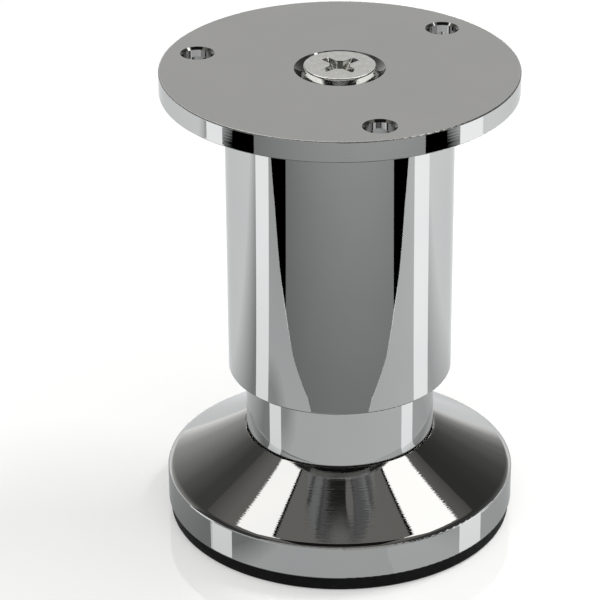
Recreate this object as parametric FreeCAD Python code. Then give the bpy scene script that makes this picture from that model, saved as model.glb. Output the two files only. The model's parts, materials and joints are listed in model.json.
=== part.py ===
import FreeCAD
import Part
import math
import os

# Adjustable cabinet leg: a chromed tube under a screw-on plate, with a neck that
# screws in and out of the tube on a spindle and turns on a wide conical foot.
# Millimetres, Z up, origin on the floor at the middle of the foot.

# Outer tube, and the length of neck that shows below it
tube_d = 50.0
tube_wall = 1.5
tube_length = 66.75
tube_edge_r = 0.35
reveal = 15.1

# Mounting plate and its holes, the fixing holes midway between tube and edge
plate_overhang = 14.0
plate_t = 4.7
plate_edge_r = 0.25
fix_count = 3
fix_first_deg = 45.0
fix_bore_d = 6.4
fix_chamfer = 0.55
sink_land = 0.3

# Neck sleeve, and how far it screws out from rest
neck_wall = 1.5
neck_edge_r = 0.3
neck_sunk = 0.95
travel_out = 11.0
stop_gap = 0.3

# Foot casting
foot_d = 78.5
foot_rim_height = 7.6
foot_cone_height = 10.35
foot_hollow = 0.27
foot_lip_r = 0.15
foot_wall = 3.0
foot_web = 3.4
foot_edge_r = 0.5
foot_small_edge_r = 0.3
hub_margin = 3.0
rib_count = 6
rib_t = 2.2
rib_lift = 0.6

# Glide pad under the foot
pad_inset = 0.55
pad_t = 3.4
pad_edge_r = 0.8
spigot_wall = 3.0
spigot_height = 2.5

# Screws, nuts and washers of one thread size
thread_d = 10.0
hex_across = 17.0
hex_face_margin = 0.3
hex_chamfer_deg = 30.0
nut_height = 8.0
head_height = 6.4
tip_chamfer = 1.2
thread_reserve = 1.9
washer_margin = 0.2
washer_t = 2.0
head_room = 0.5

# Centre screw
screw_head_d = 15.8
screw_head_band = 2.45
screw_head_edge_r = 0.25
screw_length = 16.0
recess_span = 9.0
recess_floor = 4.0
recess_depth = 4.2
recess_slot = 2.3
recess_arms = 4
recess_first_deg = 42.0

# Moulded insert in the tube
insert_disc_t = 5.0
insert_skirt_wall = 2.2
insert_skirt_height = 14.6
insert_stem_wall = 2.1
stem_clear = 1.6
insert_web_count = 6
insert_web_t = 2.0
nut_cover = 2.6

# Plug, rings and washer round the neck
plug_height = 9.6
plug_floor = 4.0
plug_skirt_wall = 2.4
plug_hub_d = 23.0
guide_wall = 2.1
guide_height = 9.05
guide_inset = 0.3
ring_height = 6.1
ring_cap_t = 0.8
ring_edge_r = 0.4
swivel_t = 0.8

# Clearances
press_gap = 0.05
thread_gap = 0.05
hole_gap = 0.4
screw_gap = 0.5
bearing_gap = 0.15
swivel_gap = 0.3
slide_gap = 0.15
ring_gap = 0.2
spigot_gap = 0.15
play = 0.1

# Radii
tube_r = tube_d / 2
tube_bore_r = tube_r - tube_wall
press_r = tube_bore_r - press_gap
plate_r = tube_r + plate_overhang
fix_pitch_r = (tube_r + plate_r) / 2
guide_bore_r = press_r - guide_wall
neck_r = guide_bore_r - slide_gap
neck_bore_r = neck_r - neck_wall
foot_r = foot_d / 2
foot_bore_r = foot_r - foot_wall
thread_r = thread_d / 2
nut_bore_r = thread_r + thread_gap
stem_bore_r = thread_r + hole_gap
bearing_r = thread_r + bearing_gap
centre_bore_r = thread_r + screw_gap
centre_sink_r = centre_bore_r + plate_t - sink_land
seat_r = neck_r + swivel_gap
pad_r = foot_r - pad_inset
hex_corner_r = hex_across / math.sqrt(3)
washer_r = hex_corner_r + washer_margin
hub_r = washer_r + hub_margin
stem_r = hex_corner_r + insert_stem_wall

# Heights from the floor
foot_bottom = pad_t
foot_rim_top = foot_bottom + foot_rim_height
foot_top = foot_rim_top + foot_cone_height
neck_bottom = foot_top - neck_sunk
seat_floor = neck_bottom - swivel_t
web_bottom = seat_floor - foot_web
head_bottom = pad_t + head_room
head_top = head_bottom + head_height
washer_top = head_top + washer_t
hub_bottom = washer_top + play
plug_top = neck_bottom + plug_height
tube_bottom = foot_top + reveal
tube_top = tube_bottom + tube_length
plate_top = tube_top + plate_t
guide_bottom = tube_bottom + guide_inset
guide_top = guide_bottom + guide_height
ring_bottom = guide_top + stop_gap + travel_out
ring_top = ring_bottom + ring_height
neck_top = ring_top - ring_cap_t
travel_in = reveal - stop_gap
stem_bottom = plug_top + nut_height + travel_in + stem_clear
spindle_tip = stem_bottom + nut_height + travel_out + thread_reserve
plate_nut_top = tube_top - nut_cover
plate_nut_bottom = plate_nut_top - nut_height

UP = FreeCAD.Vector(0, 0, 1)
ORIGIN = FreeCAD.Vector(0, 0, 0)


def outline(corners):
    """Closed wire in the X-Z plane through (radius, height, rounding) corners."""
    points = [FreeCAD.Vector(radius, 0, height) for radius, height, rounding in corners]
    spans = []
    for i, point in enumerate(points):
        rounding = corners[i][2]
        if rounding == 0:
            spans.append([point])
            continue
        back = (points[i - 1] - point).normalize()
        ahead = (points[(i + 1) % len(points)] - point).normalize()
        half = back.getAngle(ahead) / 2
        setback = rounding / math.tan(half)
        middle = (back + ahead).normalize() * (rounding / math.sin(half) - rounding)
        spans.append([point + back * setback, point + middle, point + ahead * setback])
    edges = []
    for i, span in enumerate(spans):
        if len(span) == 3:
            edges.append(Part.Arc(*span).toShape())
        edges.append(Part.makeLine(span[-1], spans[(i + 1) % len(spans)][0]))
    return Part.Wire(edges)


def lathe(*corners):
    """Solid of revolution about Z; a corner is (radius, height) or (radius, height, rounding)."""
    full = [corner if len(corner) == 3 else (corner[0], corner[1], 0) for corner in corners]
    return Part.Face(outline(full)).revolve(ORIGIN, UP, 360)


def cylinder(radius, bottom, top):
    return Part.makeCylinder(radius, top - bottom, FreeCAD.Vector(0, 0, bottom))


def tube(outer_r, inner_r, bottom, top, edge_r=0):
    return lathe((inner_r, bottom, edge_r), (outer_r, bottom, edge_r),
                 (outer_r, top, edge_r), (inner_r, top, edge_r))


def slab(thickness, inner_r, outer_r, bottom, top):
    """Upright rib that runs outwards along X from inner_r to outer_r."""
    corner = FreeCAD.Vector(inner_r, -thickness / 2, bottom)
    return Part.makeBox(outer_r - inner_r, thickness, top - bottom, corner)


def spread(shape, count, first_deg=0.0):
    """Copies of a shape at equal angles about Z."""
    copies = []
    for i in range(count):
        copy = shape.copy()
        copy.rotate(ORIGIN, UP, first_deg + i * 360 / count)
        copies.append(copy)
    return copies


def hexagon(across, bottom, top):
    corner_r = across / math.sqrt(3)
    points = [FreeCAD.Vector(corner_r * math.cos(math.radians(60 * i)),
                             corner_r * math.sin(math.radians(60 * i)), bottom) for i in range(7)]
    return Part.Face(Part.makePolygon(points)).extrude(UP * (top - bottom))


def chamfered_hexagon(bottom, top, chamfer_bottom, chamfer_top):
    """Hexagon whose corners are turned off in a cone at the ends that are marked."""
    flat_r = hex_across / 2 - hex_face_margin
    reach = hex_corner_r + hex_face_margin
    drop = (reach - flat_r) * math.tan(math.radians(hex_chamfer_deg))
    low = drop if chamfer_bottom else 0
    high = drop if chamfer_top else 0
    envelope = [(0, bottom), (flat_r if low else reach, bottom)]
    if low:
        envelope.append((reach, bottom + low))
    if high:
        envelope.append((reach, top - high))
    envelope += [(flat_r if high else reach, top), (0, top)]
    return hexagon(hex_across, bottom, top).common(lathe(*envelope))


def hex_nut(bottom):
    top = bottom + nut_height
    return chamfered_hexagon(bottom, top, True, True).cut(cylinder(nut_bore_r, bottom, top))


def mounting_plate():
    """Disc with chamfered fixing holes and a 90 degree countersink for the centre screw."""
    disc = lathe((0, tube_top), (plate_r, tube_top, plate_edge_r),
                 (plate_r, plate_top, plate_edge_r), (0, plate_top))
    bore_r = fix_bore_d / 2
    mouth_r = bore_r + fix_chamfer
    fixing = lathe((0, tube_top), (bore_r, tube_top), (bore_r, plate_top - fix_chamfer),
                   (mouth_r, plate_top), (0, plate_top))
    fixing.translate(FreeCAD.Vector(fix_pitch_r, 0, 0))
    centre = lathe((0, tube_top), (centre_bore_r, tube_top), (centre_bore_r, tube_top + sink_land),
                   (centre_sink_r, plate_top), (0, plate_top))
    return disc.cut(spread(fixing, fix_count, fix_first_deg) + [centre])


def centre_screw():
    """Countersunk screw with a tall rim, its cone seated in the plate, and a cross recess."""
    head_r = screw_head_d / 2
    widest = plate_top - (centre_sink_r - head_r)
    top = widest + screw_head_band + screw_head_edge_r
    cone_end = widest - (head_r - thread_r)
    tip = top - screw_length
    body = lathe((0, tip), (thread_r - tip_chamfer, tip), (thread_r, tip + tip_chamfer),
                 (thread_r, cone_end), (head_r, widest),
                 (head_r, top, screw_head_edge_r), (0, top))
    floor = top - recess_depth
    corners = [(0, floor), (recess_floor / 2, floor), (recess_span / 2, top), (0, top), (0, floor)]
    side = Part.makePolygon([FreeCAD.Vector(x, -recess_slot / 2, z) for x, z in corners])
    arm = Part.Face(side).extrude(FreeCAD.Vector(0, recess_slot, 0))
    return body.cut(spread(arm, recess_arms, recess_first_deg))


def outer_tube():
    return tube(tube_r, tube_bore_r, tube_bottom, tube_top, tube_edge_r)


def tube_insert():
    """Moulding that holds both nuts: a disc, a skirt that grips the tube, a stem and webs."""
    skirt_r = press_r - insert_skirt_wall
    disc_bottom = tube_top - insert_disc_t
    skirt_bottom = tube_top - insert_skirt_height
    body = lathe((stem_bore_r, stem_bottom), (stem_r, stem_bottom), (stem_r, disc_bottom),
                 (skirt_r, disc_bottom), (skirt_r, skirt_bottom), (press_r, skirt_bottom),
                 (press_r, tube_top), (stem_bore_r, tube_top))
    overlap = insert_skirt_wall / 2
    web = slab(insert_web_t, stem_r - overlap, skirt_r + overlap, skirt_bottom, disc_bottom + overlap)
    body = body.fuse(spread(web, insert_web_count)).removeSplitter()
    pocket_across = hex_across + 2 * press_gap
    upper = hexagon(pocket_across, plate_nut_bottom, plate_nut_top)
    lower = hexagon(pocket_across, stem_bottom, stem_bottom + nut_height)
    return body.cut([upper, lower])


def guide_ring():
    return lathe((guide_bore_r, guide_bottom, ring_edge_r), (press_r, guide_bottom),
                 (press_r, guide_top), (guide_bore_r, guide_top, ring_edge_r))


def swivel_washer():
    return tube(neck_r, bearing_r, seat_floor, neck_bottom)


def neck_sleeve():
    return tube(neck_r, neck_bore_r, neck_bottom, neck_top, neck_edge_r)


def neck_base_plug():
    """Cup in the foot of the sleeve, with a hub that the spindle is clamped to."""
    outer_r = neck_bore_r - press_gap
    skirt_r = outer_r - plug_skirt_wall
    floor = neck_bottom + plug_floor
    return lathe((nut_bore_r, neck_bottom), (outer_r, neck_bottom), (outer_r, plug_top),
                 (skirt_r, plug_top), (skirt_r, floor), (plug_hub_d / 2, floor),
                 (plug_hub_d / 2, plug_top), (nut_bore_r, plug_top))


def neck_top_ring():
    """Cap on the upper end of the sleeve that slides in the tube and stops on the guide ring."""
    outer_r = tube_bore_r - ring_gap
    grip_r = neck_r + press_gap
    return lathe((grip_r, ring_bottom), (outer_r, ring_bottom, ring_edge_r),
                 (outer_r, ring_top, ring_edge_r), (neck_bore_r, ring_top),
                 (neck_bore_r, neck_top), (grip_r, neck_top))


def spindle_bolt():
    head = chamfered_hexagon(head_bottom, head_top, True, False)
    shank = lathe((0, head_top), (thread_r, head_top), (thread_r, spindle_tip - tip_chamfer),
                  (thread_r - tip_chamfer, spindle_tip), (0, spindle_tip))
    return head.fuse(shank).removeSplitter()


def bolt_washer():
    return tube(washer_r, nut_bore_r, head_top, washer_top)


def cone_inset(depth):
    """The foot's sloping wall moved inwards by depth: the radius on it at a height, and back."""
    low = (foot_r, foot_rim_top)
    high = (seat_r, foot_top)
    length = math.hypot(high[0] - low[0], high[1] - low[1])
    run = (high[0] - low[0]) / length
    rise = (high[1] - low[1]) / length
    start_r = low[0] - depth * rise
    start_z = low[1] + depth * run

    def radius_at(height):
        return start_r + (height - start_z) * run / rise

    def height_at(radius):
        return start_z + (radius - start_r) * rise / run

    return radius_at, height_at


def hollow_corner():
    """Corner midway on the sloping wall, set in by foot_hollow, rounded so that the wall is slightly dished."""
    run = foot_r - seat_r
    rise = foot_top - foot_rim_top
    length = math.hypot(run, rise)
    radius = (foot_r + seat_r) / 2 - foot_hollow * rise / length
    height = (foot_top + foot_rim_top) / 2 - foot_hollow * run / length
    rounding = (length / 2 - foot_edge_r) * length / 2 / foot_hollow
    return radius, height, rounding


def foot():
    """Hollow casting: rim and dished cone, a seat for the neck, a hub for the spindle and ribs."""
    radius_at, height_at = cone_inset(foot_wall)
    shell = lathe((foot_bore_r, foot_bottom), (foot_r, foot_bottom, foot_small_edge_r),
                  (foot_r, foot_rim_top, foot_edge_r), hollow_corner(),
                  (seat_r, foot_top, foot_lip_r), (seat_r, seat_floor),
                  (bearing_r, seat_floor), (bearing_r, hub_bottom), (hub_r, hub_bottom),
                  (hub_r, web_bottom), (radius_at(web_bottom), web_bottom),
                  (foot_bore_r, height_at(foot_bore_r)))
    radius_at, height_at = cone_inset(foot_wall / 2)
    rib_bottom = foot_bottom + spigot_height + rib_lift
    rib_top = web_bottom + foot_web / 2
    inner_r = hub_r - foot_wall / 2
    outer_r = foot_bore_r + foot_wall / 2
    blank = lathe((inner_r, max(rib_bottom, hub_bottom)), (hub_r, max(rib_bottom, hub_bottom)),
                  (hub_r, rib_bottom), (outer_r, rib_bottom), (outer_r, height_at(outer_r)),
                  (radius_at(rib_top), rib_top), (inner_r, rib_top))
    rib = slab(rib_t, 0, foot_r, rib_bottom, rib_top).common(blank)
    return shell.fuse(spread(rib, rib_count)).removeSplitter()


def glide_pad():
    spigot_r = foot_bore_r - spigot_gap
    spigot_top = pad_t + spigot_height
    return lathe((0, 0), (pad_r, 0, pad_edge_r), (pad_r, pad_t, foot_small_edge_r),
                 (spigot_r, pad_t), (spigot_r, spigot_top), (spigot_r - spigot_wall, spigot_top),
                 (spigot_r - spigot_wall, pad_t), (0, pad_t))


PIECES = {
    "mounting_plate": mounting_plate(),
    "centre_screw": centre_screw(),
    "outer_tube": outer_tube(),
    "tube_insert": tube_insert(),
    "plate_nut": hex_nut(plate_nut_bottom),
    "spindle_nut": hex_nut(stem_bottom),
    "guide_ring": guide_ring(),
    "swivel_washer": swivel_washer(),
    "neck_sleeve": neck_sleeve(),
    "neck_base_plug": neck_base_plug(),
    "neck_top_ring": neck_top_ring(),
    "spindle_bolt": spindle_bolt(),
    "spindle_lock_nut": hex_nut(plug_top),
    "bolt_washer": bolt_washer(),
    "foot": foot(),
    "glide_pad": glide_pad(),
}

os.makedirs("parts", exist_ok=True)
for name, shape in PIECES.items():
    shape.exportStep("parts/" + name + ".step")
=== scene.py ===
import json
import math

import bpy
import numpy as np
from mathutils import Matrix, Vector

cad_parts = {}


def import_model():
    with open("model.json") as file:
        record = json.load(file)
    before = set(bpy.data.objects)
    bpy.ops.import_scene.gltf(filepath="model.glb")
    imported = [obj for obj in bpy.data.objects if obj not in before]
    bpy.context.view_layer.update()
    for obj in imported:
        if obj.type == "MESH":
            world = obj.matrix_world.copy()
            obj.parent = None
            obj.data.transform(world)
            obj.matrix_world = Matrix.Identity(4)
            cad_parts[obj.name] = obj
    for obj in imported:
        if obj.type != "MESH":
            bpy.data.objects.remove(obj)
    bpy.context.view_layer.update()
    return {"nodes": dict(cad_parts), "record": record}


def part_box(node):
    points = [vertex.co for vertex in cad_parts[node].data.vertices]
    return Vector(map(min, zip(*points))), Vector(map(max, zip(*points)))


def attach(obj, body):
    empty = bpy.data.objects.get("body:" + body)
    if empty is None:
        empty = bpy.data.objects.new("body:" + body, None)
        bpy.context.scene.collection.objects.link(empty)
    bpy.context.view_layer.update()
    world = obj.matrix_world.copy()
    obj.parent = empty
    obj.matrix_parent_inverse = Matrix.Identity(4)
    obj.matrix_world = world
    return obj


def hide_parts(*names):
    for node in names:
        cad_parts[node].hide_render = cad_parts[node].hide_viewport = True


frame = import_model()

MM = 0.001
SHARP_ANGLE = math.radians(35)

# Camera, fitted to the photograph's 600 x 600 frame
CAMERA_ELEVATION = math.radians(27.31)
CAMERA_DISTANCE = 0.6782
CAMERA_TARGET = 0.04935
CAMERA_LENS = 182.1
CAMERA_SENSOR = 36.0
CAMERA_SHIFT = (-0.0663, 0.0171)
CAMERA_PLACE = np.array([0, -CAMERA_DISTANCE * math.cos(CAMERA_ELEVATION),
                         CAMERA_TARGET + CAMERA_DISTANCE * math.sin(CAMERA_ELEVATION)])

# Metric thread of the spindle, the centre screw and the nuts
PITCH = 1.5 * MM
THREAD_R = 5.0 * MM
THREAD_DEPTH = 0.92 * MM
THREAD_GAP = 0.05 * MM
ROOT_CUT = 0.25
CREST_CUT = 0.125
ROWS_PER_PITCH = 14
TIP_CHAMFER = 1.2 * MM
HEX_ACROSS = 17.0 * MM
HEX_MARGIN = 0.3 * MM
HEX_SLOPE = math.tan(math.radians(30))
HEX_STEPS = 72
NUT_MOUTH = 0.4 * MM
NUT_DEPTH = 0.9 * THREAD_DEPTH
BOLT_HEAD = 6.4 * MM
PLAIN_SHANK = 17.0 * MM

# Head of the centre screw, and its cross recess
SCREW_BAND = 2.7 * MM
SCREW_EDGE_R = 0.3 * MM
SCREW_EDGE_MARGIN = 0.45 * MM
SCREW_EDGE_POINTS = 7
RECESS_FIRST = math.radians(42)
RECESS_WINGS = 4
RECESS_POINTS = (6, 9, 6)
RECESS_TOP = dict(span=4.6 * MM, half_width=0.9 * MM, root=2.0 * MM)
RECESS_LOW = dict(span=1.9 * MM, half_width=0.5 * MM, root=1.1 * MM)
RECESS_EDGE = 0.25 * MM
RECESS_DEPTH = 3.1 * MM
RECESS_POINT = 4.2 * MM
RECESS_POINT_SHARE = 0.1

# Rounded top edge of the plate, duller than its faces
PLATE_EDGE = 0.3 * MM
EDGE_ROUGHNESS = 0.3

# Cast edge between the cone and the rim of the foot, rounder in the shading than in the mesh
RIM_ROUNDING = 1.3 * MM
RIM_TILT = 0.6

# Finishes
METAL_TINT = (0.8, 0.8, 0.8, 1)
HAZE_SCALE = 2.3
CHROME = dict(dark=(0.55, 0.552, 0.55), light=(0.57, 0.568, 0.56), metallic=1.0, mottle_scale=60,
              roughness=(0.01, 0.03), bump_group="turned_lines")
ZINC = dict(dark=(0.70, 0.70, 0.67), light=(0.84, 0.84, 0.82), metallic=1.0, mottle_scale=700,
            roughness=(0.05, 0.16), bump_group="grain", bump_scale=2500, depth=0.003 * MM)
NATURAL_NYLON = dict(dark=(0.77, 0.73, 0.65), light=(0.83, 0.80, 0.73), metallic=0.0, mottle_scale=150,
                     roughness=(0.38, 0.5), bump_group="grain", bump_scale=4000, depth=0.01 * MM)
BLACK_NYLON = dict(dark=(0.006, 0.006, 0.006), light=(0.012, 0.012, 0.012), metallic=0.0, mottle_scale=300,
                   roughness=(0.35, 0.5), bump_group="grain", bump_scale=4000, depth=0.01 * MM, specular=0.3)
BLACK_PAD = dict(dark=(0.003, 0.003, 0.003), light=(0.006, 0.006, 0.006), metallic=0.0, mottle_scale=300,
                 roughness=(0.45, 0.6), bump_group="grain", bump_scale=3000, depth=0.02 * MM, specular=0.12)

# Floor and round backdrop; a glow is a list of (share of the height, strength)
FLOOR_SIZE = 8.0
FLOOR_WHITE = 0.35
FLOOR_COLOUR = (0.9, 0.9, 0.89, 1)
FLOOR_ROUGHNESS = 0.04
FLOOR_SPECULAR = 0.9
WALL_RADIUS = 1.6
WALL_HEIGHT = 1.5
WALL_STEPS = 96
WALL_GLOW = [(0.0, 1.0), (0.28, 1.0), (0.45, 0.62), (0.58, 0.60), (0.68, 0.35), (0.85, 0.08)]
SKY_GLOW = [(0.62, 0.062), (0.71, 0.11), (0.80, 0.185), (0.97, 0.2)]
SKY_TINT = (1, 0.98, 0.93)

# Softboxes as left, right, front and back, each with a black inner trim, and a wide fill. The lamps are
# smaller than the boxes that mirrors see, for a firmer shadow.
SOFTBOX_HEIGHT = 0.70
SOFTBOX_RIGHT = (0.288, 0.493, -0.07, 0.42)
SOFTBOX_LEFT = (-0.420, -0.262, -0.07, 0.42)
SOFTBOX_TRIM = 0.05
LAMP_SHARE = 0.55
RIGHT_RADIANCE = 12.0
LEFT_RADIANCE = 1.6
RIGHT_SHINE = 1.76
LEFT_SHINE = 1.6
FILL_SIZE = 2.4
FILL_PLACE = (0.2, -0.7, 1.9)
FILL_ENERGY = 34.0

# Level cards between the softboxes, as left, right, front and back
FLAG_BACK = (-0.1, 0.1, 0.24, 0.36)
FLAG_FRONT = (-0.3, 0.3, -0.5, -0.1)
FLAG_STRENGTH = 0.01
CEILING = (-0.22, 0.22, 0.112, 0.235)
CEILING_STRENGTH = 0.7

# Upright cards round the leg: edges in degrees from the camera's side, and glows by share of the height
CARD_RADIUS = 1.52
CARD_STEPS = 32
ROOM_EDGE = 50
FLANK_EDGE = 105
SIDE_EDGE = 166
PANEL_EDGE = 158
PANEL_BOTTOM = 0.83
PANEL_TOP = 2.5
ROOM_GLOW = [(0.0, 0.45), (0.44, 0.45), (0.52, 0.06), (0.555, 0.06), (0.578, 0.1), (0.6, 0.42), (0.618, 0.7),
             (0.7, 0.7), (0.76, 0.07)]
FLANK_GLOW = [(0.0, 0.03), (0.2, 0.05), (0.37, 0.1), (0.58, 0.058), (0.8, 0.045)]
SIDE_GLOW_RIGHT = [(0.0, 1.0), (0.02, 0.9), (0.09, 0.42), (0.18, 0.21), (0.37, 0.1), (0.58, 0.058),
                   (0.8, 0.045)]
SIDE_GLOW_LEFT = [(0.0, 1.25), (0.02, 1.1), (0.09, 0.7), (0.18, 0.45), (0.37, 0.27), (0.58, 0.13),
                  (0.8, 0.072)]
PANEL_GLOW = [(0.33, 0.62), (0.43, 1.6), (0.9, 1.9)]

# Colour of the cards on the floor and of the others, and how floor cards dim for steep rays
COOL_WHITE = (0.97, 0.99, 1.0, 1)
WARM_WHITE = (1.0, 0.995, 0.98, 1)
GRAZING_GAIN = 2.0
STEEP_SHARE = 0.35

# What the upright walls mirror on the floor, as angles from the camera's side: two on each wall for a strip,
# and (height, angle) pairs on the tube for the edges of the sheets
RIM_TOP = 11.0 * MM
LEFT_STRIP = {"rim": (37.5, 46.5), "neck": (37.9, 47.3), "tube_low": (39.1, 47.7), "tube_high": (36.9, 45.5),
              "plate": (38.4, 45.0)}
RIGHT_STRIP = {"rim": (42.5, 53.0), "neck": (40.2, 49.7), "tube_low": (40.6, 50.8), "tube_high": (39.2, 49.6),
               "plate": (39.6, 49.7)}
STRIP_REACH = 2.5
LAYER_STEP = 0.1 * MM
LIGHT_EDGE = [(0.0370, 14.6), (0.0400, 16.2), (0.0440, 19.7), (0.0500, 24.0), (0.0606, 28.1), (0.0700, 30.8),
              (0.0850, 33.5), (0.1001, 36.2)]
BLACK_EDGE = [(0.0606, 27.7), (0.1001, 27.0)]
BLACK_FROM = 4
LIGHT_EDGE_ON_PLATE = 39.0
BLACK_EDGE_ON_PLATE = 26.8
STREAKS_ON_PLATE = (34.5, 39.6)
STREAK_MARGIN = 0.01
STREAK_MIDDLE = 0.28
STREAK_RISE_ACROSS = 0.5
STREAK_RISE_ALONG = 22
STREAK_LIMITS = dict(low=0.0, high=0.9)
SHEET_RADIUS = 0.088
SHEET_BULGE = 26
SHEET_POINTS = 27
SHEET_REACH = 0.9
SHEET_NEAR = (0.07, -0.01)

# Glow of the cards on the floor: level + per_metre . place, held between low and high
# The front sheet darkens towards the foot's left and in its pool: a painted shadow of the leg on the floor
FRONT_GLOW = dict(level=0.69, per_metre=(0.5, 0.45, 0), low=0.4, high=0.8,
                  pool=((-0.077, -0.031), 0.22, 13.5))
BACK_GLOW_RIGHT = dict(level=0.21, per_metre=(3, 8.5, 0), low=0.58, high=1.03)
# The left back sheet darkens towards the foot: a painted shadow of the leg on the floor
BACK_GLOW_LEFT = dict(level=0.109, per_metre=(-2.5, 12.5, 0), low=0.32, high=0.97)
DARK_GLOW = dict(level=0.185, per_metre=(0.35, -1.05, 0), low=0.2, high=0.54)
STRIP_GLOW_RIGHT = dict(level=1.24, per_metre=(1.5, 0, 0), low=1.0, high=1.46)
STRIP_GLOW_LEFT = dict(level=1.04, per_metre=(-2, 0, 0), low=1.0, high=1.38)

# Cards close round the foot, which its rim mirrors: first and last angle, and glow
RIM_CARD_INNER = 39.5 * MM
RIM_CARD_OUTER = 58.0 * MM
RIM_CARD_POINTS = 25
# The left and front cards glow dimmer towards the foot's left: a painted shadow of the leg on the floor
RIM_CARDS = {
    "left": (235, 300, dict(level=0.415, per_metre=(0, 6.3, 0), low=0.27, high=0.45)),
    "front": (300, 380, dict(level=1.34, per_metre=(31, 0, 0), low=0.27, high=0.6)),
    "turn": (20, 62, dict(level=1.02, per_metre=(-11, 0, 0), low=0.57, high=0.66)),
    "right": (62, 115, dict(level=0.6, per_metre=(0, 3, 0), low=0.57, high=0.66)),
}


def mesh_object(name, points, faces):
    mesh = bpy.data.meshes.new(name)
    mesh.from_pydata(points, [], faces)
    mesh.update()
    obj = bpy.data.objects.new(name, mesh)
    bpy.context.scene.collection.objects.link(obj)
    return obj


def round_piece(name, radius, height, angle, bored=False):
    """Closed piece round the Z axis: point (k, j) is at radius[k, j] and height[k, j] on the ray at angle[j].
    Rows run from the bottom outwards, up and back in. A bored piece joins its last row to its first; another
    one ends on the axis, where its first and last heights are single points."""
    rows, columns = radius.shape
    points = np.stack([radius * np.cos(angle), radius * np.sin(angle), height], -1).reshape(-1, 3)
    column = np.arange(columns)
    beside = (column + 1) % columns
    low = np.arange(rows if bored else rows - 1)[:, None] * columns
    high = (low + columns) % (rows * columns)
    quads = np.stack([low + column, low + beside, high + beside, high + column], -1).reshape(-1, 4)
    faces = quads.tolist()
    if not bored:
        bottom, top = len(points), len(points) + 1
        points = np.vstack([points, [[0, 0, height[0, 0]], [0, 0, height[-1, 0]]]])
        last = (rows - 1) * columns
        faces += np.stack([beside, column, np.full(columns, bottom)], 1).tolist()
        faces += np.stack([last + column, last + beside, np.full(columns, top)], 1).tolist()
    obj = mesh_object(name, points.tolist(), faces)
    obj.data.shade_smooth()
    obj.data.set_sharp_from_angle(angle=SHARP_ANGLE)
    return obj


def rows_of(*pairs):
    """Radius and height arrays from (radius, height) rows, each a number or an array over the angles."""
    shape = np.broadcast_shapes(*[np.shape(value) for pair in pairs for value in pair])
    radius = np.array([np.broadcast_to(pair[0], shape) for pair in pairs])
    height = np.array([np.broadcast_to(pair[1], shape) for pair in pairs])
    return radius, height


def thread_crest(height, angle):
    """Metric thread form, 1 at the crest and 0 at the root: a triangle wave along the right-hand helix
    height = pitch * angle / turn, with a quarter of its rise cut off at the root and an eighth at the
    crest."""
    turns = height / PITCH - angle / (2 * math.pi)
    wave = 1 - np.abs(2 * (turns - np.floor(turns)) - 1)
    return np.clip((wave - ROOT_CUT) / (1 - ROOT_CUT - CREST_CUT), 0, 1)


def thread_rows(low, high, angle):
    """Heights from low to high, a fixed number to a pitch, as a column beside the angles."""
    count = int(round((high - low) / PITCH * ROWS_PER_PITCH)) + 1
    return np.broadcast_to(np.linspace(low, high, count)[:, None], (count, len(angle)))


def outer_thread(low, high, angle, starts_low):
    """Screw thread between two heights that fades into the plain shank at one end and a cone at its tip."""
    height = thread_rows(low, high, angle)
    from_shank = (height - low) if starts_low else (high - height)
    from_tip = (high - height) if starts_low else (height - low)
    fade = np.clip(from_shank / PITCH, 0, 1)
    radius = THREAD_R - THREAD_DEPTH * fade * (1 - thread_crest(height, angle))
    return np.minimum(radius, THREAD_R - TIP_CHAMFER + from_tip), height


def hexagon(angle):
    """Radius of a hexagon with a corner on the X axis: half its width over the cosine off a flat's middle."""
    part = math.pi / 3
    return HEX_ACROSS / 2 / np.cos(np.mod(angle, part) - part / 2)


def stack_rows(*parts):
    return np.vstack([part[0] for part in parts]), np.vstack([part[1] for part in parts])


def place(obj, node, material):
    """The piece stands for a node of the frame and takes its body, slot and finish."""
    bodies = frame["record"]["behaviour"]["bodies"]
    obj.data.materials.append(material)
    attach(obj, next(body for body, members in bodies.items() if node in members))
    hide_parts(node)


def nut(node, material):
    """Hexagon nut: chamfered flats outside, a thread with mouths of 45 degrees in its bore."""
    low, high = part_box(node)[0].z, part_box(node)[1].z
    angle = np.linspace(0, 2 * math.pi, HEX_STEPS, endpoint=False)
    flat_r = HEX_ACROSS / 2 - HEX_MARGIN
    side = hexagon(angle)
    drop = (side - flat_r) * HEX_SLOPE
    mouth = THREAD_R + NUT_MOUTH
    outside = rows_of((mouth, low), (flat_r, low), (side, low + drop), (side, high - drop), (flat_r, high),
                      (mouth, high))
    height = thread_rows(low, high, angle)[::-1][1:-1]
    thread = THREAD_R + THREAD_GAP - NUT_DEPTH * (1 - thread_crest(height, angle))
    cone = mouth - np.minimum(high - height, height - low)
    bore = np.maximum(thread, cone), height
    place(round_piece(node + "_threaded", *stack_rows(outside, bore), angle, bored=True), node, material)


def spindle(material):
    """Hexagon bolt: a chamfered head, a plain shank and a thread up to its tip."""
    low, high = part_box("spindle_bolt")[0].z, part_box("spindle_bolt")[1].z
    angle = np.linspace(0, 2 * math.pi, HEX_STEPS, endpoint=False)
    flat_r = HEX_ACROSS / 2 - HEX_MARGIN
    side = hexagon(angle)
    drop = (side - flat_r) * HEX_SLOPE
    head_top = low + BOLT_HEAD
    head = rows_of((flat_r, low), (side, low + drop), (side, head_top), (THREAD_R, head_top))
    thread = outer_thread(head_top + PLAIN_SHANK, high, angle, starts_low=True)
    place(round_piece("spindle_bolt_threaded", *stack_rows(head, thread), angle), "spindle_bolt", material)


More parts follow.
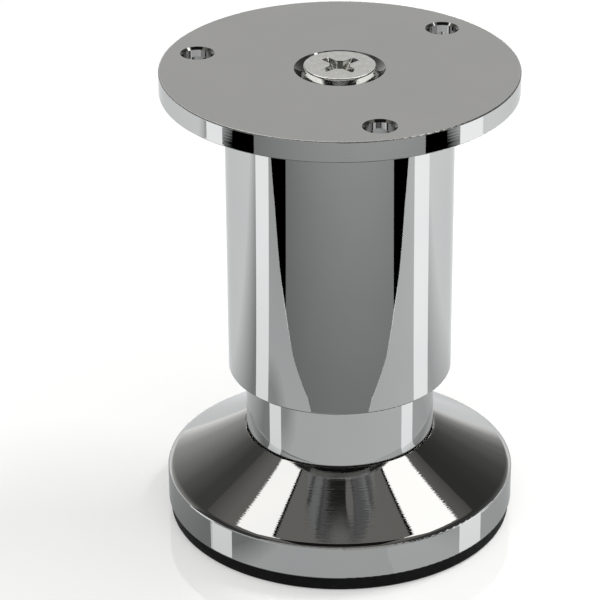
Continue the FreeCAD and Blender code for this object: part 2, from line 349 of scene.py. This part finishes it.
def recess_angles():
    """Angles round the screw that hold each wing's corners: its end, its sides and the root between wings."""
    end = math.asin(RECESS_TOP["half_width"] / RECESS_TOP["span"])
    root = math.asin(RECESS_TOP["half_width"] / RECESS_TOP["root"])
    on_end, on_side, on_root = RECESS_POINTS
    half = np.concatenate([np.linspace(0, end, on_end)[:-1], np.linspace(end, root, on_side)[:-1],
                           np.linspace(root, math.pi / RECESS_WINGS, on_root)])
    wing = np.concatenate([-half[:0:-1], half[:-1]])
    starts = RECESS_FIRST + np.arange(RECESS_WINGS) * 2 * math.pi / RECESS_WINGS
    return (starts[:, None] + wing).ravel()


def recess_radius(angle, span, half_width, root):
    """Outline of the cross: half_width over the sine of the angle from a wing, held between root and span."""
    step = 2 * math.pi / RECESS_WINGS
    off_wing = np.abs(np.mod(angle - RECESS_FIRST + step / 2, step) - step / 2)
    return np.clip(half_width / np.maximum(np.sin(off_wing), 1e-6), root, span)


def centre_screw(material):
    """Countersunk screw: thread, cone, tall rim with a rounded edge, flat face and a tapered cross recess."""
    low_corner, high_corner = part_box("centre_screw")
    tip, top, head_r = low_corner.z, high_corner.z, high_corner.x
    angle = recess_angles()
    widest = top - SCREW_BAND
    cone_end = widest - (head_r - THREAD_R)
    thread = outer_thread(tip, cone_end, angle, starts_low=False)
    turn = np.linspace(0, math.pi / 2, SCREW_EDGE_POINTS)
    edge = [(head_r - SCREW_EDGE_R * (1 - math.cos(a)), top - SCREW_EDGE_R * (1 - math.sin(a))) for a in turn]
    over = recess_radius(angle, **RECESS_TOP)
    under = recess_radius(angle, **RECESS_LOW)
    head = rows_of((head_r, widest), (head_r, top - SCREW_EDGE_MARGIN), *edge,
                   (head_r - SCREW_EDGE_MARGIN, top), (over + RECESS_EDGE, top), (over, top - RECESS_EDGE),
                   (under, top - RECESS_DEPTH), (under * RECESS_POINT_SHARE, top - RECESS_POINT))
    place(round_piece("centre_screw_threaded", *stack_rows(thread, head), angle), "centre_screw", material)


def new_material(name):
    """An empty node material with its nodes, links and output."""
    material = bpy.data.materials.new(name)
    material.use_nodes = True
    nodes = material.node_tree.nodes
    nodes.clear()
    output = nodes.new("ShaderNodeOutputMaterial")
    return material, nodes, material.node_tree.links, output


def new_group(name, inputs, output):
    """A shader group with float inputs by name and default, and one float output."""
    group = bpy.data.node_groups.new(name, "ShaderNodeTree")
    for label, value in inputs.items():
        socket = group.interface.new_socket(label, in_out="INPUT", socket_type="NodeSocketFloat")
        socket.default_value = value
    group.interface.new_socket(output, in_out="OUTPUT", socket_type="NodeSocketFloat")
    return group, group.nodes.new("NodeGroupInput"), group.nodes.new("NodeGroupOutput")


def math_node(tree, operation, first, second):
    """A Math node whose two inputs are sockets or numbers; returns its output."""
    node = tree.nodes.new("ShaderNodeMath")
    node.operation = operation
    for socket, value in zip(node.inputs, (first, second)):
        if isinstance(value, (int, float)):
            socket.default_value = value
        else:
            tree.links.new(value, socket)
    return node.outputs["Value"]


def set_stops(ramp, stops, tint=(1, 1, 1)):
    """Gives a ramp its (position, strength) stops, all in one tint."""
    elements = ramp.color_ramp.elements
    while len(elements) < len(stops):
        elements.new(1.0)
    for stop, (at, strength) in zip(elements, stops):
        stop.position = at
        stop.color = (*(strength * part for part in tint), 1)


def round_place(tree):
    """Distance from the axis and height of a point, as sockets."""
    nodes, links = tree.nodes, tree.links
    place_node = nodes.new("ShaderNodeTexCoord")
    split = nodes.new("ShaderNodeSeparateXYZ")
    flat = nodes.new("ShaderNodeCombineXYZ")
    radius = nodes.new("ShaderNodeVectorMath")
    radius.operation = "LENGTH"
    links.new(place_node.outputs["Object"], split.inputs["Vector"])
    links.new(split.outputs["X"], flat.inputs["X"])
    links.new(split.outputs["Y"], flat.inputs["Y"])
    links.new(flat.outputs["Vector"], radius.inputs[0])
    return radius.outputs["Value"], split.outputs["Z"]


def turned_lines():
    """Group: fine rings left by turning, noise over the distance from the axis less the height."""
    group, entry, leave = new_group("turned_lines", {"Lines per metre": 2000.0}, "Height")
    noise = group.nodes.new("ShaderNodeTexNoise")
    noise.noise_dimensions = "1D"
    noise.inputs["Scale"].default_value = 1.0
    noise.inputs["Detail"].default_value = 3.0
    along = math_node(group, "SUBTRACT", *round_place(group))
    count = math_node(group, "MULTIPLY", along, entry.outputs["Lines per metre"])
    group.links.new(count, noise.inputs["W"])
    group.links.new(noise.outputs["Fac"], leave.inputs["Height"])
    return group


def mottle():
    """Group: cloudy noise between a low and a high value, for roughness and tone that vary over a surface."""
    group, entry, leave = new_group("mottle", {"Scale": 100.0, "Low": 0.0, "High": 1.0}, "Value")
    place_node = group.nodes.new("ShaderNodeTexCoord")
    noise = group.nodes.new("ShaderNodeTexNoise")
    noise.inputs["Detail"].default_value = 4.0
    span = group.nodes.new("ShaderNodeMapRange")
    span.inputs["From Min"].default_value = 0.3
    span.inputs["From Max"].default_value = 0.7
    group.links.new(place_node.outputs["Object"], noise.inputs["Vector"])
    group.links.new(entry.outputs["Scale"], noise.inputs["Scale"])
    group.links.new(noise.outputs["Fac"], span.inputs["Value"])
    group.links.new(entry.outputs["Low"], span.inputs["To Min"])
    group.links.new(entry.outputs["High"], span.inputs["To Max"])
    group.links.new(span.outputs["Result"], leave.inputs["Value"])
    return group


def grain():
    """Group: height of a fine grain, noise with soft pits from cells at the same scale."""
    group, entry, leave = new_group("grain", {"Scale": 2000.0}, "Height")
    place_node = group.nodes.new("ShaderNodeTexCoord")
    noise = group.nodes.new("ShaderNodeTexNoise")
    noise.inputs["Detail"].default_value = 3.0
    cells = group.nodes.new("ShaderNodeTexVoronoi")
    for texture in (noise, cells):
        group.links.new(place_node.outputs["Object"], texture.inputs["Vector"])
        group.links.new(entry.outputs["Scale"], texture.inputs["Scale"])
    height = math_node(group, "ADD", noise.outputs["Fac"], cells.outputs["Distance"])
    group.links.new(height, leave.inputs["Height"])
    return group


def worn_edge():
    """Group: 1 on the rounded top edge of a disc, beyond a radius and above a height, and 0 elsewhere."""
    group, entry, leave = new_group("worn_edge", {"Radius": 0.04, "Height": 0.1}, "Share")
    radius, height = round_place(group)
    outside = math_node(group, "GREATER_THAN", radius, entry.outputs["Radius"])
    above = math_node(group, "GREATER_THAN", height, entry.outputs["Height"])
    group.links.new(math_node(group, "MULTIPLY", outside, above), leave.inputs["Share"])
    return group


def rounded_rim():
    """Group: height that falls from a radius outwards by share * distance^2 / (2 * reach), so that its slope
    grows from 0 to the given share over the reach."""
    group, entry, leave = new_group("rounded_rim", {"Radius": 0.04, "Reach": 0.001, "Share": 0.5}, "Height")
    radius, _ = round_place(group)
    outside = math_node(group, "SUBTRACT", radius, entry.outputs["Radius"])
    outside = math_node(group, "MAXIMUM", outside, 0.0)
    square = math_node(group, "MULTIPLY", outside, outside)
    fall = math_node(group, "MULTIPLY", square, entry.outputs["Share"])
    fall = math_node(group, "DIVIDE", fall, entry.outputs["Reach"])
    group.links.new(math_node(group, "MULTIPLY", fall, -0.5), leave.inputs["Height"])
    return group


def use(nodes, group, **values):
    """Places a group in a material and sets its inputs by name."""
    node = nodes.new("ShaderNodeGroup")
    node.node_tree = group
    for label, value in values.items():
        node.inputs[label.capitalize()].default_value = value
    return node


def surface(name, groups, dark, light, metallic, mottle_scale, roughness, bump_group, bump_scale, depth,
            specular=0.5, edge=None, rim=None):
    """Finish with a mottled tone and roughness and a bump from one of the groups. A disc's top edge, given by
    a radius and a height, may be duller, and the surface may be rounded off towards a rim's radius."""
    material, nodes, links, output = new_material(name)
    tree = material.node_tree
    shader = nodes.new("ShaderNodeBsdfPrincipled")
    shader.inputs["Metallic"].default_value = metallic
    shader.inputs["Specular IOR Level"].default_value = specular
    if metallic:
        shader.inputs["Specular Tint"].default_value = METAL_TINT
    tone = use(nodes, groups["mottle"], scale=mottle_scale, low=0.0, high=1.0)
    mix = nodes.new("ShaderNodeMix")
    mix.data_type = "RGBA"
    mix.inputs["A"].default_value = (*dark, 1)
    mix.inputs["B"].default_value = (*light, 1)
    links.new(tone.outputs["Value"], mix.inputs["Factor"])
    links.new(mix.outputs["Result"], shader.inputs["Base Color"])
    haze = use(nodes, groups["mottle"], scale=mottle_scale * HAZE_SCALE, low=roughness[0], high=roughness[1])
    rough = haze.outputs["Value"]
    if edge:
        worn = use(nodes, groups["worn_edge"], radius=edge[0], height=edge[1])
        dull = math_node(tree, "MULTIPLY", worn.outputs["Share"], EDGE_ROUGHNESS)
        rough = math_node(tree, "MAXIMUM", rough, dull)
    links.new(rough, shader.inputs["Roughness"])
    relief = nodes.new("ShaderNodeGroup")
    relief.node_tree = groups[bump_group]
    relief.inputs[0].default_value = bump_scale
    bump = nodes.new("ShaderNodeBump")
    bump.inputs["Distance"].default_value = depth
    links.new(relief.outputs["Height"], bump.inputs["Height"])
    if rim:
        rounding = use(nodes, groups["rounded_rim"], radius=rim - RIM_ROUNDING, reach=RIM_ROUNDING,
                       share=RIM_TILT)
        tilt = nodes.new("ShaderNodeBump")
        tilt.inputs["Distance"].default_value = 1.0
        links.new(rounding.outputs["Height"], tilt.inputs["Height"])
        links.new(tilt.outputs["Normal"], bump.inputs["Normal"])
    links.new(bump.outputs["Normal"], shader.inputs["Normal"])
    links.new(shader.outputs["BSDF"], output.inputs["Surface"])
    return material


def finishes():
    """The leg's finishes by the record's slots, and the turned chrome of the foot and the plate by node."""
    groups = {"turned_lines": turned_lines(), "mottle": mottle(), "grain": grain(), "worn_edge": worn_edge(),
              "rounded_rim": rounded_rim()}
    plate_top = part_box("mounting_plate")[1]
    return {
        "chrome": surface("chrome_drawn", groups, **CHROME, bump_scale=300, depth=0.002 * MM),
        "foot": surface("chrome_turned", groups, **CHROME, bump_scale=1800, depth=0.003 * MM,
                        rim=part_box("foot")[1].x),
        "mounting_plate": surface("chrome_faced", groups, **CHROME, bump_scale=1800, depth=0.003 * MM,
                                  edge=(plate_top.x - PLATE_EDGE, plate_top.z - PLATE_EDGE)),
        "plated_steel": surface("zinc_plate", groups, **ZINC),
        "natural_nylon": surface("natural_nylon", groups, **NATURAL_NYLON),
        "black_nylon": surface("black_nylon", groups, **BLACK_NYLON),
        "black_pad": surface("black_pad", groups, **BLACK_PAD),
    }


def dress():
    """Gives every node its finish and stands threaded pieces in for the plain fasteners."""
    finish = finishes()
    for part in frame["record"]["subparts"]:
        node = frame["nodes"][part["node"]]
        node.data.materials.clear()
        node.data.materials.append(finish.get(part["node"], finish[part["material_slot"]]))
    for node in ("plate_nut", "spindle_nut", "spindle_lock_nut"):
        nut(node, finish["plated_steel"])
    spindle(finish["plated_steel"])
    centre_screw(finish["plated_steel"])


def one_sided(material_parts, strength, on_floor=False):
    """Emission from a face's front, nothing from its back. A floor card dims towards rays from straight
    above."""
    material, nodes, links, output = material_parts
    light = nodes.new("ShaderNodeEmission")
    light.inputs["Color"].default_value = COOL_WHITE if on_floor else WARM_WHITE
    clear = nodes.new("ShaderNodeBsdfTransparent")
    side = nodes.new("ShaderNodeNewGeometry")
    mix = nodes.new("ShaderNodeMixShader")
    if on_floor:
        slant = nodes.new("ShaderNodeLayerWeight")
        grazing = math_node(material.node_tree, "MULTIPLY", slant.outputs["Facing"], GRAZING_GAIN)
        share = nodes.new("ShaderNodeClamp")
        share.inputs["Min"].default_value = STEEP_SHARE
        links.new(grazing, share.inputs["Value"])
        strength = math_node(material.node_tree, "MULTIPLY", strength, share.outputs["Result"])
    if isinstance(strength, float):
        light.inputs["Strength"].default_value = strength
    else:
        links.new(strength, light.inputs["Strength"])
    links.new(side.outputs["Backfacing"], mix.inputs["Fac"])
    links.new(light.outputs["Emission"], mix.inputs[1])
    links.new(clear.outputs["BSDF"], mix.inputs[2])
    links.new(mix.outputs["Shader"], output.inputs["Surface"])
    return material


def even_glow(name, strength):
    return one_sided(new_material(name), strength)


def slope_glow(name, level, per_metre, low, high, pool=None):
    """Glow of level + per_metre . place, held between low and high, for a card on the floor. A pool of
    painted shade, given by its centre, level and rise, also keeps it below level + rise * distance from the
    centre."""
    parts = new_material(name)
    material, nodes, links, _ = parts
    place_node = nodes.new("ShaderNodeTexCoord")
    dot = nodes.new("ShaderNodeVectorMath")
    dot.operation = "DOT_PRODUCT"
    dot.inputs[1].default_value = per_metre
    clamp = nodes.new("ShaderNodeClamp")
    clamp.inputs["Min"].default_value = low
    clamp.inputs["Max"].default_value = high
    links.new(place_node.outputs["Object"], dot.inputs[0])
    value = math_node(material.node_tree, "ADD", dot.outputs["Value"], level)
    if pool:
        centre, pool_level, rise = pool
        reach = nodes.new("ShaderNodeVectorMath")
        reach.operation = "DISTANCE"
        reach.inputs[1].default_value = (*centre, 0)
        links.new(place_node.outputs["Object"], reach.inputs[0])
        shade = math_node(material.node_tree, "MULTIPLY", reach.outputs["Value"], rise)
        shade = math_node(material.node_tree, "ADD", shade, pool_level)
        value = math_node(material.node_tree, "MINIMUM", value, shade)
    links.new(value, clamp.inputs["Value"])
    return one_sided(parts, clamp.outputs["Result"], on_floor=True)


def ramp_glow(name, top, stops):
    """Glow that follows the height between 0 and top by a ramp of (share, strength) stops."""
    parts = new_material(name)
    material, nodes, links, _ = parts
    place_node = nodes.new("ShaderNodeTexCoord")
    split = nodes.new("ShaderNodeSeparateXYZ")
    ramp = nodes.new("ShaderNodeValToRGB")
    set_stops(ramp, stops)
    links.new(place_node.outputs["Object"], split.inputs["Vector"])
    links.new(math_node(material.node_tree, "DIVIDE", split.outputs["Z"], top), ramp.inputs["Fac"])
    return one_sided(parts, ramp.outputs["Color"])


def reflected_only(obj, material):
    """A stage piece that only mirrors see: a glowing card that paints a reflection."""
    obj.data.materials.append(material)
    obj.visible_camera = False
    obj.visible_diffuse = False
    obj.visible_shadow = False


def flat_card(name, corners, height, material, face_up=True):
    """Flat level polygon through (x, y) corners."""
    flat = np.array(corners)
    turn = np.sum(flat[:, 0] * np.roll(flat[:, 1], -1) - flat[:, 1] * np.roll(flat[:, 0], -1))
    flat = flat if (turn > 0) == face_up else flat[::-1]
    points = np.column_stack([flat, np.full(len(flat), height)])
    reflected_only(mesh_object(name, points.tolist(), [range(len(flat))]), material)


def floor_card(name, corners, layer, material):
    """Card just above the floor; a higher layer covers a lower one."""
    flat_card(name, corners, LAYER_STEP * layer, material)


def high_card(name, span, material):
    """Rectangle at the softboxes' height that faces down."""
    left, right, front, back = span
    corners = [(left, front), (right, front), (right, back), (left, back)]
    flat_card(name, corners, SOFTBOX_HEIGHT, material, face_up=False)


def upright_card(name, start_deg, end_deg, bottom, top, material):
    """Part of a cylinder round the leg that faces it; the angle runs from the camera's side to +X."""
    count = CARD_STEPS + 1
    angle = np.radians(np.linspace(start_deg, end_deg, count))
    ring = CARD_RADIUS * np.stack([np.sin(angle), -np.cos(angle)], 1)
    low = np.column_stack([ring, np.full(count, bottom)])
    high = np.column_stack([ring, np.full(count, top)])
    i = np.arange(CARD_STEPS)
    faces = np.stack([i + 1, i, i + count, i + count + 1], 1)
    reflected_only(mesh_object(name, np.vstack([low, high]).tolist(), faces.tolist()), material)


def landing(radius, height, angle_deg):
    """Floor point that the camera sees in an upright mirror wall: the view ray d, turned to d - 2 (d.n) n."""
    angle = math.radians(angle_deg)
    normal = np.array([math.sin(angle), -math.cos(angle), 0])
    point = radius * normal + np.array([0, 0, height])
    ray = point - CAMERA_PLACE
    ray = ray - 2 * np.dot(ray, normal) * normal
    return (point - ray * height / ray[2])[:2]


def mirror_walls():
    """Radius, lowest and highest height of each upright wall, from the foot's rim up to the plate's edge."""
    foot, neck, tube, plate = map(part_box, ("foot", "neck_sleeve", "outer_tube", "mounting_plate"))
    return {"rim": (foot[1].x, foot[0].z, RIM_TOP), "neck": (neck[1].x, foot[1].z, tube[0].z),
            "tube_low": (tube[1].x, tube[0].z), "tube_high": (tube[1].x, tube[1].z),
            "plate": (plate[1].x, plate[0].z, plate[1].z)}


def mirrored(points):
    return [(-x, y) for x, y in points]


def strip(walls, angles):
    """Outline of the floor strip that shows between two angles on every wall, carried on past the plate's."""
    edges = []
    for side in (0, 1):
        edge = [landing(walls[name][0], z, pair[side])
                for name, pair in angles.items() for z in walls[name][1:]]
        edges.append([tuple(point) for point in edge + [edge[-1] * STRIP_REACH]])
    return edges[0] + edges[1][::-1]


def sector(inner, outer, start_deg, end_deg):
    """Part of a ring on the floor; the angle runs from the camera's side towards +X."""
    angle = np.radians(np.linspace(start_deg, end_deg, RIM_CARD_POINTS))
    rim = np.stack([np.sin(angle), -np.cos(angle)], 1)
    return (rim * outer).tolist() + (rim[::-1] * inner).tolist()


def floor():
    """Pale floor that takes the shadow, part of it an even white to every ray that shows it."""
    half = FLOOR_SIZE / 2
    corners = [(-half, -half, 0), (half, -half, 0), (half, half, 0), (-half, half, 0)]
    obj = mesh_object("floor", corners, [(0, 1, 2, 3)])
    material, nodes, links, output = new_material("pale_floor")
    tree = material.node_tree
    shader = nodes.new("ShaderNodeBsdfPrincipled")
    shader.inputs["Base Color"].default_value = FLOOR_COLOUR
    shader.inputs["Roughness"].default_value = FLOOR_ROUGHNESS
    shader.inputs["Specular IOR Level"].default_value = FLOOR_SPECULAR
    white = nodes.new("ShaderNodeEmission")
    rays = nodes.new("ShaderNodeLightPath")
    mix = nodes.new("ShaderNodeMixShader")
    seen = math_node(tree, "MAXIMUM", rays.outputs["Is Camera Ray"], rays.outputs["Is Glossy Ray"])
    seen = math_node(tree, "MAXIMUM", seen, rays.outputs["Is Transmission Ray"])
    links.new(math_node(tree, "MULTIPLY", seen, FLOOR_WHITE), mix.inputs["Fac"])
    links.new(shader.outputs["BSDF"], mix.inputs[1])
    links.new(white.outputs["Emission"], mix.inputs[2])
    links.new(mix.outputs["Shader"], output.inputs["Surface"])
    obj.data.materials.append(material)


def wall():
    """Round backdrop: a cylinder that faces inwards, its glow fading upwards."""
    angle = np.linspace(0, 2 * np.pi, WALL_STEPS, endpoint=False)
    ring = np.stack([WALL_RADIUS * np.cos(angle), WALL_RADIUS * np.sin(angle)], 1)
    low = np.column_stack([ring, np.zeros(WALL_STEPS)])
    high = np.column_stack([ring, np.full(WALL_STEPS, WALL_HEIGHT)])
    i = np.arange(WALL_STEPS)
    j = (i + 1) % WALL_STEPS
    faces = np.stack([j, i, i + WALL_STEPS, j + WALL_STEPS], 1)
    obj = mesh_object("backdrop", np.vstack([low, high]).tolist(), faces.tolist())
    obj.data.materials.append(ramp_glow("backdrop_glow", WALL_HEIGHT, WALL_GLOW))
    obj.visible_shadow = False


def add_lamp(name, lamp, location):
    """An area lamp that mirrors don't see."""
    obj = bpy.data.objects.new(name, lamp)
    obj.location = location
    obj.visible_glossy = False
    bpy.context.scene.collection.objects.link(obj)


def softbox(name, span, radiance, shine):
    """Area lamp over the leg, and the card in its place that mirrors see, with a black trim on its inner
    side."""
    left, right, front, back = span
    lamp = bpy.data.lights.new(name, "AREA")
    lamp.shape = "RECTANGLE"
    lamp.energy = radiance * math.pi * (right - left) * (back - front)
    lamp.size = (right - left) * LAMP_SHARE
    lamp.size_y = (back - front) * LAMP_SHARE
    add_lamp(name, lamp, ((left + right) / 2, (front + back) / 2, SOFTBOX_HEIGHT))
    high_card(name + "_card", span, even_glow(name + "_glow", shine))
    inner = left if left > 0 else right
    trim = (inner, inner * (1 - SOFTBOX_TRIM), front, back)
    high_card(name + "_trim_card", trim, even_glow(name + "_trim_glow", 0.0))


def fill():
    lamp = bpy.data.lights.new("fill", "AREA")
    lamp.size = FILL_SIZE
    lamp.energy = FILL_ENERGY
    add_lamp("fill", lamp, FILL_PLACE)


def streak_card(name, walls, side):
    """Grey between the black and the bright strip on the plate's edge, sloped so that turned lines show."""
    radius, low, high = walls["plate"]
    inner, outer = STREAKS_ON_PLATE
    under, over = low * (1 - STREAK_MARGIN), high * (1 + STREAK_MARGIN)
    corners = np.array([landing(radius, under, inner), landing(radius, over, inner),
                        landing(radius, over, outer), landing(radius, under, outer)])
    middle = landing(radius, (low + high) / 2, (inner + outer) / 2)
    across = landing(radius, high, outer) - landing(radius, high, inner)
    along = middle / np.linalg.norm(middle)
    per_metre = STREAK_RISE_ACROSS * across / np.dot(across, across) + STREAK_RISE_ALONG * along
    level = STREAK_MIDDLE - np.dot(per_metre, middle)
    place_on = np.array([side, 1])
    glow = slope_glow(name + "_glow", level, (*(per_metre * place_on), 0), **STREAK_LIMITS)
    floor_card(name, corners * place_on, 3, glow)


def sheet_edge(tube_r, plate, on_tube, on_plate):
    """Floor points that show as an edge on the tube and the plate, carried on to the sheets' reach."""
    edge = [tuple(landing(tube_r, z, deg)) for z, deg in on_tube]
    edge += [tuple(landing(plate[0], z, on_plate)) for z in plate[1:]]
    edge.append((SHEET_REACH, edge[-1][1] * SHEET_REACH / edge[-1][0]))
    return edge


def floor_cards():
    """Light, dark and black sheets and two bright strips on the floor, which the upright walls mirror."""
    walls = mirror_walls()
    tube_r, plate = walls["tube_low"][0], walls["plate"]
    light_edge = sheet_edge(tube_r, plate, LIGHT_EDGE, LIGHT_EDGE_ON_PLATE)
    black_edge = sheet_edge(tube_r, plate, BLACK_EDGE, BLACK_EDGE_ON_PLATE)
    angle = np.radians(np.linspace(-SHEET_BULGE, SHEET_BULGE, SHEET_POINTS))
    bulge = np.stack([SHEET_RADIUS * np.sin(angle), -SHEET_RADIUS * np.cos(angle)], 1).tolist()
    front = mirrored(light_edge)[::-1] + bulge + light_edge
    front += [(SHEET_REACH, 0), SHEET_NEAR, *mirrored([SHEET_NEAR]), (-SHEET_REACH, 0)]
    back = [(0, SHEET_NEAR[1]), SHEET_NEAR, (SHEET_REACH, 0), (SHEET_REACH, SHEET_REACH), (0, SHEET_REACH)]
    floor_card("front_sheet_card", front, 1, slope_glow("front_sheet_glow", **FRONT_GLOW))
    floor_card("back_sheet_card_right", back, 1, slope_glow("back_right_glow", **BACK_GLOW_RIGHT))
    floor_card("back_sheet_card_left", mirrored(back), 1, slope_glow("back_left_glow", **BACK_GLOW_LEFT))
    half = light_edge[:BLACK_FROM + 1]
    wedge = mirrored(black_edge)[::-1] + mirrored(half)[::-1][1:] + bulge + half[:-1] + black_edge
    floor_card("dark_card", wedge, 2, slope_glow("dark_glow", **DARK_GLOW))
    black = even_glow("black_glow", 0.0)
    side = black_edge[::-1] + light_edge[BLACK_FROM + 1:]
    floor_card("black_card_right", side, 2, black)
    floor_card("black_card_left", mirrored(side), 2, black)
    streak_card("streak_card_right", walls, 1)
    streak_card("streak_card_left", walls, -1)
    right, left = strip(walls, RIGHT_STRIP), mirrored(strip(walls, LEFT_STRIP))
    floor_card("strip_card_right", right, 4, slope_glow("strip_right_glow", **STRIP_GLOW_RIGHT))
    floor_card("strip_card_left", left, 4, slope_glow("strip_left_glow", **STRIP_GLOW_LEFT))
    for name, (start, end, glow) in RIM_CARDS.items():
        corners = sector(RIM_CARD_INNER, RIM_CARD_OUTER, start, end)
        floor_card("rim_card_" + name, corners, 2, slope_glow("rim_" + name + "_glow", **glow))


def upright_cards():
    """Dark room behind the camera, dark flanks, sides that fade upwards, and a bright panel high behind the
    leg."""
    ramps = {"room": ROOM_GLOW, "flank": FLANK_GLOW, "side_right": SIDE_GLOW_RIGHT,
             "side_left": SIDE_GLOW_LEFT}
    glow = {name: ramp_glow(name + "_glow", WALL_HEIGHT, stops) for name, stops in ramps.items()}
    upright_card("room_card", -ROOM_EDGE, ROOM_EDGE, 0, WALL_HEIGHT, glow["room"])
    upright_card("flank_card_right", ROOM_EDGE, FLANK_EDGE, 0, WALL_HEIGHT, glow["flank"])
    upright_card("flank_card_left", -FLANK_EDGE, -ROOM_EDGE, 0, WALL_HEIGHT, glow["flank"])
    upright_card("side_card_right", FLANK_EDGE, SIDE_EDGE, 0, WALL_HEIGHT, glow["side_right"])
    upright_card("side_card_left", -SIDE_EDGE, -FLANK_EDGE, 0, WALL_HEIGHT, glow["side_left"])
    panel = ramp_glow("back_panel_glow", PANEL_TOP, PANEL_GLOW)
    upright_card("back_panel_card", PANEL_EDGE, 360 - PANEL_EDGE, PANEL_BOTTOM, PANEL_TOP, panel)


def high_cards():
    """Dark flags before and behind the leg, and a patch of light ceiling that the plate shows from above."""
    flag = even_glow("flag_glow", FLAG_STRENGTH)
    high_card("flag_card_back", FLAG_BACK, flag)
    high_card("ceiling_card", CEILING, even_glow("ceiling_glow", CEILING_STRENGTH))
    high_card("flag_card_front", FLAG_FRONT, flag)


def camera():
    lens = bpy.data.cameras.new("camera")
    lens.lens = CAMERA_LENS
    lens.sensor_width = CAMERA_SENSOR
    lens.shift_x, lens.shift_y = CAMERA_SHIFT
    obj = bpy.data.objects.new("camera", lens)
    obj.location = CAMERA_PLACE
    obj.rotation_euler = (math.pi / 2 - CAMERA_ELEVATION, 0, 0)
    bpy.context.scene.collection.objects.link(obj)
    bpy.context.scene.camera = obj


def world():
    """Dim studio ceiling that grows lighter towards straight above."""
    sky = bpy.data.worlds.new("studio")
    sky.use_nodes = True
    nodes, links = sky.node_tree.nodes, sky.node_tree.links
    place_node = nodes.new("ShaderNodeTexCoord")
    split = nodes.new("ShaderNodeSeparateXYZ")
    ramp = nodes.new("ShaderNodeValToRGB")
    set_stops(ramp, SKY_GLOW, SKY_TINT)
    links.new(place_node.outputs["Generated"], split.inputs["Vector"])
    links.new(split.outputs["Z"], ramp.inputs["Fac"])
    links.new(ramp.outputs["Color"], nodes["Background"].inputs["Color"])
    bpy.context.scene.world = sky


dress()
floor()
wall()
softbox("softbox_right", SOFTBOX_RIGHT, RIGHT_RADIANCE, RIGHT_SHINE)
softbox("softbox_left", SOFTBOX_LEFT, LEFT_RADIANCE, LEFT_SHINE)
fill()
floor_cards()
upright_cards()
high_cards()
camera()
world()
bpy.context.scene.view_settings.view_transform = "Standard"
